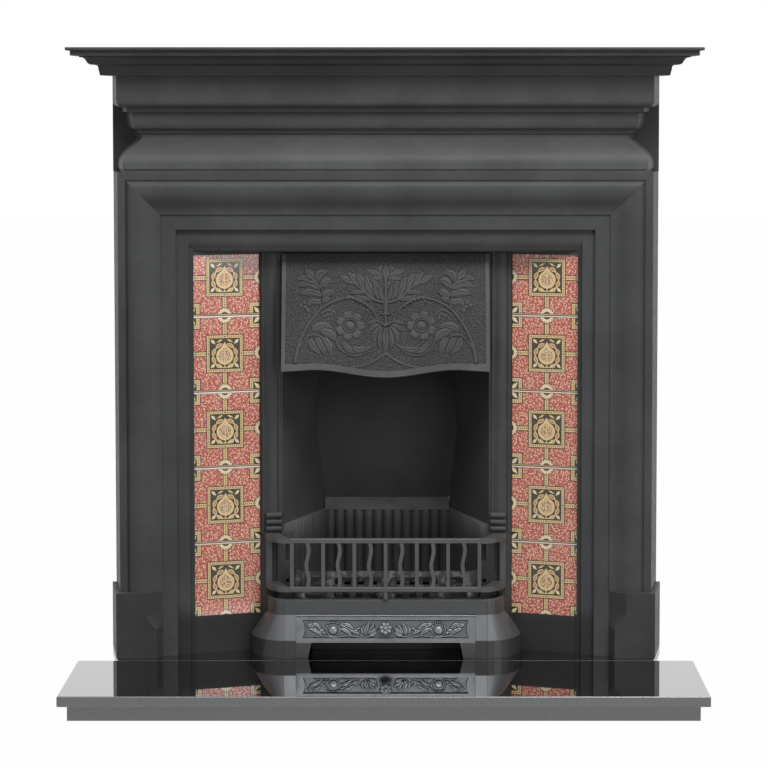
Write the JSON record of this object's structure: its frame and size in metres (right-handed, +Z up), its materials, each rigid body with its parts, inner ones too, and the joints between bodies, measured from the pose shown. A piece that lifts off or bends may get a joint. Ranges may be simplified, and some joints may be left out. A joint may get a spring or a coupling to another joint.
{
  "type": "fireplace",
  "caption": "Cast iron fireplace with moulded mantel, tiled insert, decorated hood, grate with front bars, ash cover and pan, damper and stone hearth.",
  "frame": {"origin": "middle of the whole fireplace in plan, at the floor the hearth lies on", "axes": "+Z up; -Y out of the chimney breast into the room; +X to the right seen from the room"},
  "size_m": [1.236, 0.659, 1.26],
  "materials": {
    "mat_iron": "matt black stove paint",
    "polished_iron": "graphite polished iron",
    "brick_iron": "rough matt black, reeded",
    "granite": "polished black granite",
    "mortar": "rough cement bed",
    "glazed_tile": "glazed, red ground with cream and dark green pattern",
    "sheet_steel": "dull bare steel"
  },
  "bodies": {
    "root": {"hearth_slab": "granite", "back_hearth": "granite", "front_riser": "granite", "left_riser": "granite", "right_riser": "granite", "hearth_bed": "mortar", "back_hearth_bed": "mortar", "header": "mat_iron", "frieze_moulding": "mat_iron", "frieze_panel": "mat_iron", "mantel_shelf": "mat_iron", "insert_front": "mat_iron", "hood": "mat_iron", "fireback": "mat_iron", "throat_plate": "mat_iron", "left_jamb": "mat_iron", "left_plinth": "mat_iron", "left_cheek": "mat_iron", "left_tile_1": "glazed_tile", "left_tile_2": "glazed_tile", "left_tile_3": "glazed_tile", "left_tile_4": "glazed_tile", "left_tile_5": "glazed_tile", "left_tile_retainer": "sheet_steel", "left_hood_bolt": "sheet_steel", "left_brick": "brick_iron", "left_grate_end": "polished_iron", "left_grate_arm": "mat_iron", "right_jamb": "mat_iron", "right_plinth": "mat_iron", "right_cheek": "mat_iron", "right_tile_1": "glazed_tile", "right_tile_2": "glazed_tile", "right_tile_3": "glazed_tile", "right_tile_4": "glazed_tile", "right_tile_5": "glazed_tile", "right_tile_retainer": "sheet_steel", "right_hood_bolt": "sheet_steel", "right_brick": "brick_iron", "right_grate_end": "polished_iron", "right_grate_arm": "mat_iron", "back_brick": "brick_iron", "grate_apron": "polished_iron", "damper_pin": "sheet_steel"},
    "bars": {"front_bars": "mat_iron"},
    "grate": {"bottom_grate": "mat_iron", "grate_fence": "mat_iron"},
    "pan": {"ash_pan": "sheet_steel", "pan_handle": "sheet_steel"},
    "cover": {"ash_cover": "polished_iron", "cover_knob": "mat_iron"},
    "damper": {"damper_flap": "mat_iron"}
  },
  "joints": [
    {"name": "lift_front_bars", "type": "slide", "parent": "root", "child": "bars", "axis": [0, 0, 1], "range_m": [0, 0.12]},
    {"name": "lift_bottom_grate", "type": "slide", "parent": "root", "child": "grate", "axis": [0, 0, 1], "range_m": [0, 0.12]},
    {"name": "draw_ash_pan", "type": "slide", "parent": "root", "child": "pan", "axis": [0, -1, 0], "range_m": [0, 0.2]},
    {"name": "take_ash_cover", "type": "slide", "parent": "pan", "child": "cover", "axis": [0, -1, 0], "range_m": [0, 0.1]},
    {"name": "turn_damper", "type": "hinge", "parent": "root", "child": "damper", "pos_m": [0, 0.2655, 0.7636], "axis": [-1, 0, 0], "range_deg": [0, 70]}
  ]
}
